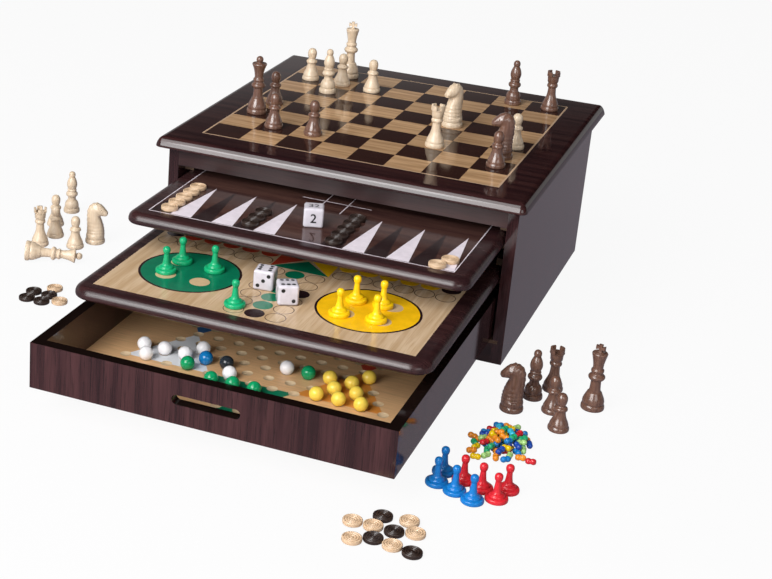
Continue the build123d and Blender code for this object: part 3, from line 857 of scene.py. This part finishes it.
class COMPENDIUM_OT_ludo(bpy.types.Operator):
    """Pale print of the ludo board with its homes and fields"""

    bl_idname = "compendium.ludo"
    bl_label = "Ludo board"
    bl_options = {"REGISTER", "UNDO"}

    def execute(self, context):
        look, size = context.scene.compendium_finishes, context.scene.compendium_sizes
        maple = printed_wood("gloss_maple_print", look.maple, linear("b0906a"), 1, 0.12, 0.85, 5.0)
        finish_nodes(maple, "ludo_sheet")
        low, high = box_mm("ludo_sheet")
        middle = (low[:2] + high[:2]) / 2 + (0, 1.0)
        top, ink = high[2], size.print_thickness / MM
        pitch, field, home = size.ludo_pitch / MM, size.field_radius / MM, size.home_radius / MM
        green, yellow, red, blue, black = (
            printing_ink(name + "_screen_print", value)
            for name, value in (("green", look.green_ink), ("yellow", look.yellow_ink), ("red", look.red_ink),
                                ("blue", look.blue_ink), ("black", look.ink)))
        bare = printing_ink("bare_maple_spot", linear("c9ad86"))
        # in mm: the lines round a home and a field, a home's bare spots and a wedge's tip from the middle
        home_line, field_line, bare_step, tip_gap = 1.9, 0.5, 14.5, 2.5
        parts, rings = [], []
        for x, y, shade in ((-73.5, -70, green), (73, -70, yellow), (-73.5, 70, red), (73, 70, blue)):
            spot = middle + (x, y)
            parts.append((slab(circle(home, 96, spot), top, top + ink), shade))
            parts.append((placed(hoop(home, home + home_line, top, top + ink, 96), (*spot, 0)), black))
            for dx in (-bare_step, bare_step):
                for dy in (-bare_step, bare_step):
                    parts.append((slab(circle(field, 40, spot + (dx, dy)), top + ink, top + 1.5 * ink), bare))
        # in each arm, the run home and one field of the track beside it are filled
        for side, shade in (((0, -1), green), ((1, 0), yellow), ((-1, 0), red), ((0, 1), blue)):
            outward, across = np.array(side, float), np.array([-side[1], side[0]], float)
            for far in range(2, 8):
                for lane in (-1, 0, 1):
                    spot = middle + (outward * far + across * lane) * pitch
                    fill = None
                    if lane == 0:
                        fill = black if far == 7 else shade
                    elif far == 4 and lane == side[0] - side[1]:
                        fill = black
                    if fill:
                        parts.append((slab(circle(field - 0.3, 40, spot), top, top + ink), fill))
                    else:
                        rings.append(placed(hoop(field - field_line, field, top, top + ink, 40), (*spot, 0)))
            tip = middle + outward * tip_gap
            left, right = (middle + (outward + sign * across) * 1.45 * pitch for sign in (-1, 1))
            parts.append((slab([tip, left, right], top, top + ink), shade))
        parts.append((joined(rings), black))
        show("ludo_print", parts, "ludo")
        return {"FINISHED"}


class COMPENDIUM_OT_drawer(bpy.types.Operator):
    """Foil on the drawer and the dimpled star board in its bottom"""

    bl_idname = "compendium.drawer"
    bl_label = "Drawer and star board"
    bl_options = {"REGISTER", "UNDO"}

    def execute(self, context):
        look, size = context.scene.compendium_finishes, context.scene.compendium_sizes
        foil = wood_foil("wenge_foil_drawer", look.foil, look.foil_pore, look.foil_light, 2,
                         edge_band=look.edge_band)
        finish_nodes(foil, "drawer_front", "drawer_back", "drawer_left_side", "drawer_right_side")
        low, high = box_mm("star_board")
        pitch, radius, depth = size.star_pitch / MM, size.dimple_radius / MM, size.dimple_depth / MM
        row_step = pitch * ROW_STEP
        middle = star_middle()
        margin, nearest = 1, 0.01
        left, right = low[0] + margin, high[0] - margin
        columns = np.arange(-80, 81) * (pitch / 8) + middle[0]
        columns = columns[(columns > left) & (columns < right)]
        printed, bare = [], []
        for row in range(-8, 9):
            y = middle[1] + row * row_step
            y0 = low[1] if row == -8 else y - row_step / 2
            y1 = high[1] if row == 8 else y + row_step / 2
            for cell in range(-8, 9):
                x = middle[0] + (cell + row % 2 / 2) * pitch
                x0, x1 = x - pitch / 2, x + pitch / 2
                if x0 < left or x1 > right:
                    continue
                # the first and last whole cells of a row reach out to the sides of the board
                x0 = low[0] if x0 - pitch < left else x0
                x1 = high[0] if x1 + pitch > right else x1
                inner = columns[(columns > x0 + nearest) & (columns < x1 - nearest)]
                rim = around(np.concatenate([[x0], inner, [x1]]), np.linspace(y0, y1, 5))
                if in_star(x - middle[0], y - middle[1], pitch):
                    flat, bowl = dimpled_cell(rim, x, y, high[2], radius, depth)
                    printed.append(flat)
                    bare.append(bowl)
                else:
                    printed.append((at_height(rim, high[2]), [np.arange(len(rim))[None, :]]))
        ends = np.concatenate([[low[0]], columns, [high[0]]])
        rows = np.concatenate([[low[1]], middle[1] + (np.arange(-8, 8) + 0.5) * row_step, [high[1]]])
        sides = np.concatenate([np.linspace(a, b, 5) for a, b in zip(rows[:-1], rows[1:])])
        points, (walls, bottom, _) = slab(around(ends, np.unique(np.round(sides, 6))), low[2], high[2])
        whole = welded(joined([*printed, (points, [walls, bottom])]))
        pale = lacquered_wood("bare_dimple_wood", look.dimple, linear("c9ab84"), 0.4, 0.2, 0)
        shade = star_print(look, middle, pitch)
        board = show("star_board_dimpled", [(whole, shade), (joined(bare), pale)], "drawer")
        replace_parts(board, "star_board")
        return {"FINISHED"}


class COMPENDIUM_OT_chessmen(bpy.types.Operator):
    """Pale and brown chessmen on the chess field and on the floor"""

    bl_idname = "compendium.chessmen"
    bl_label = "Chessmen"
    bl_options = {"REGISTER", "UNDO"}

    def execute(self, context):
        look = context.scene.compendium_finishes
        finishes = {"pale": lacquered_wood("satin_boxwood", look.boxwood, linear("cdb598"), 0.35, 0.3),
                    "brown": lacquered_wood("gloss_rosewood", look.rosewood, linear("5c4035"), 0.25, 0.6)}
        # column, row and turn of those on the field, then x, y and turn of those on the floor
        sets = (
            ("pale", "pawn", [(0.1, 6, 0), (1.1, 5.94, 0), (2.08, 5.81, 0), (7.1, 2.85, 0)],
             [(-309, 86, 0), (-295, 60, 0), (-266, 45, 0)]),
            ("pale", "rook", [(5.19, 1.78, 20)], [(-297, 34, 80)]),
            ("pale", "knight", [(5.09, 3.82, 62)], [(-256, 66, 192)]),
            ("pale", "bishop", [(1, 4.97, 0)], [(-313, 126, 0)]),
            ("pale", "queen", [], []),
            ("pale", "king", [(1, 6.9, 12)], []),
            ("brown", "pawn", [(0.12, 3, 0), (0.9, 0.97, 0), (2.05, 0.93, 0), (7.05, 1.03, 0)],
             [(208, -66, 0), (219, -93, 0)]),
            ("brown", "rook", [(7.12, 6.97, 15)], [(200, -28, 10)]),
            ("brown", "knight", [(7, 1.85, 20)], [(179, -78, 20)]),
            ("brown", "bishop", [(6.03, 6.96, 0)], [(189, -50, 0)]),
            ("brown", "queen", [(0, 1.97, 0)], []),
            ("brown", "king", [], [(235, -44, -15)]),
        )
        stands_for = {"pale_king": "pale_chessmen", "pale_rook": "pale_chessmen",
                      "brown_knight": "brown_chessmen", "brown_king": "brown_chessmen"}
        for shade, kind, on_field, on_floor in sets:
            shape = chessman(kind)
            men = [placed(shape, on_square(column, row), turn) for column, row, turn in on_field]
            men += [placed(shape, (x, y, FLOOR), turn) for x, y, turn in on_floor]
            name = f"{shade}_{kind}"
            if name == "pale_queen":
                men.append(placed(shape, (-290, -5, 9.3), 22, 93.3))  # lying on its side
            piece = show(name, [(joined(men), finishes[shade])], "cabinet")
            if name in stands_for:
                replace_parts(piece, stands_for[name])
        return {"FINISHED"}


class COMPENDIUM_OT_draughts(bpy.types.Operator):
    """Draughts with turned rings on the backgammon board and on the floor"""

    bl_idname = "compendium.draughts"
    bl_label = "Draughts"
    bl_options = {"REGISTER", "UNDO"}

    def execute(self, context):
        look = context.scene.compendium_finishes
        shape = turned(through(PROFILES["draught"], 3), 40)
        pale = lacquered_wood("satin_pale_draught", linear("d2b698"), linear("c4a380"), 0.42, 0.15, 0)
        dark = lacquered_wood("satin_ebonised_draught", look.ebonised, linear("211612"), 0.4, 0.15, 0)
        for node, finish, slot, body in (
            ("board_pale_draughts", pale, "pale_turned", "backgammon"),
            ("board_dark_draughts", dark, "dark_turned", "backgammon"),
            ("floor_pale_draughts", pale, "pale_turned", "cabinet"),
            ("floor_dark_draughts", dark, "dark_turned", "cabinet"),
        ):
            set_out = [placed(shape, where) for where in disc_middles(node)]
            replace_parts(show(node + "_turned", [(joined(set_out), finish)], body), node)
        return {"FINISHED"}


class COMPENDIUM_OT_dice(bpy.types.Operator):
    """Two dice on the ludo board and the doubling cube on the backgammon board"""

    bl_idname = "compendium.dice"
    bl_label = "Dice and doubling cube"
    bl_options = {"REGISTER", "UNDO"}

    def execute(self, context):
        look = context.scene.compendium_finishes
        white = moulded_plastic("white_urea_resin", look.dice_white, 0.14, 0.1)
        black = printing_ink("black_pip_paint", look.pip, 0.3)
        body = rounded_cube(DIE_EDGE)
        pip = turned([(0, -0.3), (1.55, -0.3), (1.55, 0.02), (1.2, 0.05), (0, 0.06)], 20)
        pip_step = 4.1
        spots = {1: [(0, 0)], 2: [(-1, -1), (1, 1)], 3: [(-1, -1), (0, 0), (1, 1)],
                 4: [(-1, -1), (-1, 1), (1, -1), (1, 1)], 5: [(-1, -1), (-1, 1), (0, 0), (1, -1), (1, 1)],
                 6: [(-1, -1), (-1, 1), (0, -1), (0, 1), (1, -1), (1, 1)]}
        # each side's number, below nought where its spots are turned a quarter
        numbers = ({"top": -6, "front": 3, "right": 5, "left": 2, "back": 4, "bottom": 1},
                   {"top": 6, "front": -2, "right": 3, "left": 4, "back": 5, "bottom": 1})
        surface = box_mm("dice")[0][2] + DIE_EDGE / 2
        corner = box_mm("ludo_board")[0]
        finished = []
        for where, turn, sides in zip(((-11.6, 75.2), (13.2, 57.4)), (8, 28), numbers):
            marks = []
            for side, number in sides.items():
                for x, y in spots[abs(number)]:
                    x, y = (x, y) if number > 0 else (-y, x)
                    marks.append(on_side(placed(pip, (pip_step * x, pip_step * y, 0)), side))
            at = (where[0], corner[1] + where[1], surface)
            finished += [(placed(body, at, turn), white), (placed(joined(marks), at, turn), black)]
        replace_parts(show("dice_with_pips", finished, "ludo"), "dice")
        numbers = (("2", 10.5, "front"), ("4", 10.5, "right"), ("8", 10.5, "back"), ("16", 9, "left"),
                   ("32", 9, "top"), ("64", 9, "bottom"))
        marks = joined([on_side(numeral(text, tall), side) for text, tall, side in numbers])
        at = (-0.5, -57.5, box_mm("backgammon_sheet")[1][2] + DIE_EDGE / 2)
        show("doubling_cube", [(placed(body, at, 19), white), (placed(marks, at, 19), black)],
             "backgammon")
        return {"FINISHED"}


class COMPENDIUM_OT_ludo_pawns(bpy.types.Operator):
    """Sixteen ludo pawns: four green and four yellow on the board, four blue and four red on the floor"""

    bl_idname = "compendium.ludo_pawns"
    bl_label = "Ludo pawns"
    bl_options = {"REGISTER", "UNDO"}

    def execute(self, context):
        shape = turned(through(PROFILES["ludo pawn"], 3), 36)
        board = box_mm("ludo_sheet")[1][2] + 0.09
        sets = (
            ("green", "12a06a", "ludo", board, [(-90, -139), (-87, -115), (-58, -118), (-18, -172)]),
            ("yellow", "f3c60f", "ludo", board, [(56, -148), (59, -118), (80, -117), (84, -145)]),
            ("blue", "1273bd", "cabinet", FLOOR, [(160, -217), (160, -200), (174.5, -222.5), (189, -229)]),
            ("red", "cf2630", "cabinet", FLOOR, [(176, -205), (190.5, -210), (203.5, -219), (207.5, -203)]),
        )
        for name, shade, body, level, places in sets:
            plastic = moulded_plastic(name + "_polystyrene", linear(shade), 0.25, 0.15)
            pawns = joined([placed(shape, (x, y, level)) for x, y in places])
            show(name + "_ludo_pawns", [(pawns, plastic)], body, 50)
        return {"FINISHED"}


class COMPENDIUM_OT_marbles(bpy.types.Operator):
    """Marbles in the drawer, sitting in the dimples of the star board"""

    bl_idname = "compendium.marbles"
    bl_label = "Marbles"
    bl_options = {"REGISTER", "UNDO"}

    def execute(self, context):
        size = context.scene.compendium_sizes
        radius, pitch = size.marble_radius / MM, size.star_pitch / MM
        angle = np.linspace(-math.pi / 2, math.pi / 2, 21)
        ball = turned(np.column_stack([radius * np.cos(angle), radius * np.sin(angle)]), 32)
        middle = star_middle()
        sunk = radius - math.sqrt(radius**2 - (size.dimple_radius / MM) ** 2)
        level = box_mm("star_board")[1][2] + radius - min(sunk, size.dimple_depth / MM)
        # column counted in half pitches and row from the middle of the star
        sets = (
            ("white", "f6f4f6", [(-11, -3), (-10, -4), (-9, -3), (-7, -3), (-6, -2), (-2, -4), (2, -2)]),
            ("green", "129a62", [(-6, -4), (-3, -5), (-1, -5), (1, -5), (4, -2)]),
            ("blue", "1277b8", [(-5, -3)]),
            ("black", "2b3138", [(-3, -3)]),
            ("yellow", "fedc58", [(6, -2), (8, -2), (9, -1), (7, -3), (6, -4), (9, -3), (8, -4), (10, -4)]),
        )
        for name, shade, places in sets:
            glass = moulded_plastic(name + "_opal_glass", linear(shade), 0.06, 0.1)
            balls = []
            for x, y in places:
                at = (middle[0] + x * pitch / 2, middle[1] + y * pitch * ROW_STEP, level)
                balls.append(placed(ball, at))
            show(name + "_marbles", [(joined(balls), glass)], "drawer", 60)
        return {"FINISHED"}


class COMPENDIUM_OT_peg_heap(bpy.types.Operator):
    """Heap of small coloured pegs on the floor, set out in layers at fixed heights, each narrower than the
    one below
    """

    bl_idname = "compendium.peg_heap"
    bl_label = "Peg heap"
    bl_options = {"REGISTER", "UNDO"}

    def execute(self, context):
        size = context.scene.compendium_sizes
        radius, step_up = 2.3, 3.7
        heap_x, heap_y = 187.5, -140.5
        shape = turned(through(PROFILES["peg"], 2), 14)
        shades = ["f8d012", "fb9a2c", "dc2a34", "2450b4", "1b84d2", "3cbfdf", "2bb47a", "b2e08a"]
        # shade, x, y and turn of the pegs lying apart from the heap
        loose = [(1, 165, -139, 160), (1, 170, -161, 30), (0, 175, -169, 5), (1, 205, -155, 10),
                 (2, 213, -157, 8), (3, 206, -132, 110), (7, 191, -111, 60), (7, 204, -143, 100),
                 (4, 178, -113, 15), (1, 185, -112, 150)]
        pegs = [[] for _ in shades]
        for shade, x, y, turn in loose:
            pegs[shade].append(placed(shape, (x, y, radius + 0.1), turn, 90))
        chance = np.random.default_rng(11)
        count = 0
        # how far each layer spreads, and how near its pegs may come to each other
        for layer, (spread, gap) in enumerate(((23, 6.2), (17, 6.0), (10, 5.8))):
            taken = [(x, y) for _, x, y, _ in loose] if layer == 0 else []
            for _ in range(1200):
                if count == size.heap_count:
                    break
                reach, bearing = spread * math.sqrt(chance.random()), chance.random() * FULL_TURN
                x = heap_x + 0.86 * reach * math.cos(bearing)
                y = heap_y + 1.12 * reach * math.sin(bearing)
                if any(math.hypot(x - a, y - b) < gap for a, b in taken):
                    continue
                taken.append((x, y))
                tilt = chance.uniform(-18, 18) if layer else chance.uniform(-4, 4)
                spot = (x, y, radius + 0.35 + step_up * layer)
                group = pegs[chance.integers(len(shades))]
                group.append(placed(shape, spot, 360 * chance.random(), 90 + tilt))
                count += 1
        finished = [(joined(group), tinted_plastic(f"tinted_styrene_{i + 1}", linear(shade)))
                    for i, (shade, group) in enumerate(zip(shades, pegs)) if group]
        show("small_pegs", finished, "cabinet", 50)
        return {"FINISHED"}


def lamp(name, place, target, width, height, power):
    """A soft rectangular lamp aimed at a place."""
    light = bpy.data.lights.new(name, "AREA")
    light.shape = "RECTANGLE"
    light.size, light.size_y = width, height
    light.energy = power
    holder = bpy.data.objects.new(name, light)
    bpy.context.scene.collection.objects.link(holder)
    holder.location = place
    away = np.array(place, float) - np.array(target, float)
    flat = math.hypot(away[0], away[1])
    holder.rotation_euler = (math.atan2(flat, away[2]), 0.0, math.atan2(away[0], -away[1]))


def emptied(holder):
    """The node tree of a material or a world, with no node left in it."""
    holder.use_nodes = True
    holder.node_tree.nodes.clear()
    return holder.node_tree


class COMPENDIUM_OT_stage(bpy.types.Operator):
    """White floor, soft lamps and the camera"""

    bl_idname = "compendium.stage"
    bl_label = "Stage"
    bl_options = {"REGISTER", "UNDO"}

    def execute(self, context):
        scene = context.scene
        scene.view_settings.view_transform = "Standard"
        reach, below = 6.0, -0.0003
        floor = bpy.data.meshes.new("floor")
        corners = [(x * reach, y * reach, below) for x, y in ((-1, -1), (1, -1), (1, 1), (-1, 1))]
        floor.from_pydata(corners, [], [(0, 1, 2, 3)])
        ground = bpy.data.objects.new("floor", floor)
        scene.collection.objects.link(ground)
        paper = bpy.data.materials.new("white_paper_sweep")
        floor.materials.append(paper)
        tree = emptied(paper)
        rays = add(tree, "LightPath")
        camera_ray, glossy_ray = rays.outputs["Is Camera Ray"], rays.outputs["Is Glossy Ray"]
        seen = add(tree, "Math", {0: camera_ray, 1: glossy_ray}, operation="MAXIMUM")
        share = add(tree, "Math", {0: seen, 1: 0.93}, operation="MULTIPLY")
        matt = add(tree, "BsdfDiffuse", {"Color": (0.6, 0.58, 0.6)})
        level = add(tree, "Mix", {"Factor": glossy_ray, "A": (1, 1, 1), "B": (0.25, 0.225, 0.26)},
                    data_type="RGBA")
        glow = add(tree, "Emission", {"Color": level, "Strength": 1.0})
        surface = add(tree, "MixShader", {0: share, 1: matt, 2: glow})
        add(tree, "OutputMaterial", {0: surface})

        world = bpy.data.worlds.new("studio")
        scene.world = world
        tree = emptied(world)
        rays = add(tree, "LightPath")
        camera_ray, glossy_ray = rays.outputs["Is Camera Ray"], rays.outputs["Is Glossy Ray"]
        toward = add(tree, "TexCoord").outputs["Generated"]
        # a white sweep that ends a little above the horizon, lower to the right, with the dark room over it
        slope = add(tree, "VectorMath", {0: toward, 1: (0.12, 0, 1)}, operation="DOT_PRODUCT")
        sweep = add(tree, "MapRange", {"Value": slope, "From Min": 0.212, "From Max": 0.258, "To Min": 0.4,
                                       "To Max": 0.0}, interpolation_type="SMOOTHSTEP")
        mirrored = add(tree, "Math", {0: glossy_ray, 1: sweep}, operation="MULTIPLY")
        plain = add(tree, "Math", {0: 1.0, 1: glossy_ray}, operation="SUBTRACT")
        plain = add(tree, "Math", {0: plain, 1: 0.25}, operation="MULTIPLY")
        level = add(tree, "Math", {0: mirrored, 1: plain}, operation="ADD")
        level = add(tree, "Math", {0: level, 1: camera_ray}, operation="MAXIMUM")
        back = add(tree, "Background", {"Color": (1, 1, 1), "Strength": level})
        add(tree, "OutputWorld", {0: back})

        lamp("key_softbox", (-0.6, -1.2, 1.6), (0, -0.1, 0.05), 1.2, 1.3, 23)
        lamp("fill_softbox", (1.6, -1.7, 1.0), (0, -0.1, 0.03), 1.2, 0.7, 8)
        lamp("front_softbox", (-0.5, -1.95, 1.04), (0, -0.15, 0.03), 1.4, 1.25, 46)

        camera = bpy.data.cameras.new("camera")
        camera.sensor_width = SENSOR
        camera.lens = SENSOR * FOCAL / FRAME_WIDTH
        camera.shift_x = (FRAME_WIDTH / 2 - AXIS_X) / FRAME_WIDTH
        camera.shift_y = (AXIS_Y - FRAME_HEIGHT / 2) / FRAME_WIDTH
        camera.clip_start = 0.1
        holder = bpy.data.objects.new("camera", camera)
        scene.collection.objects.link(holder)
        holder.location = CAMERA_PLACE
        holder.rotation_euler = CAMERA_TURN
        scene.camera = holder
        return {"FINISHED"}


class COMPENDIUM_PT_panel(bpy.types.Panel):
    bl_label = "Games compendium"
    bl_idname = "COMPENDIUM_PT_panel"
    bl_space_type = "VIEW_3D"
    bl_region_type = "UI"
    bl_category = "Compendium"

    def draw(self, context):
        for operator in OPERATORS:
            self.layout.operator(operator.bl_idname)
        for group in (context.scene.compendium_sizes, context.scene.compendium_finishes):
            box = self.layout.box()
            for name in group.__annotations__:
                box.prop(group, name)


OPERATORS = (COMPENDIUM_OT_stage, COMPENDIUM_OT_cabinet, COMPENDIUM_OT_backgammon, COMPENDIUM_OT_ludo,
             COMPENDIUM_OT_drawer, COMPENDIUM_OT_chessmen, COMPENDIUM_OT_draughts, COMPENDIUM_OT_dice,
             COMPENDIUM_OT_ludo_pawns, COMPENDIUM_OT_marbles, COMPENDIUM_OT_peg_heap)
CLASSES = (CompendiumFinishes, CompendiumSizes, *OPERATORS, COMPENDIUM_PT_panel)


def register():
    for made in CLASSES:
        bpy.utils.register_class(made)
    bpy.types.Scene.compendium_finishes = PointerProperty(type=CompendiumFinishes)
    bpy.types.Scene.compendium_sizes = PointerProperty(type=CompendiumSizes)


def unregister():
    del bpy.types.Scene.compendium_sizes
    del bpy.types.Scene.compendium_finishes
    for made in reversed(CLASSES):
        bpy.utils.unregister_class(made)


def main():
    register()
    for operator in OPERATORS:
        group, name = operator.bl_idname.split(".")
        getattr(getattr(bpy.ops, group), name)()


if __name__ == "__main__":
    main()
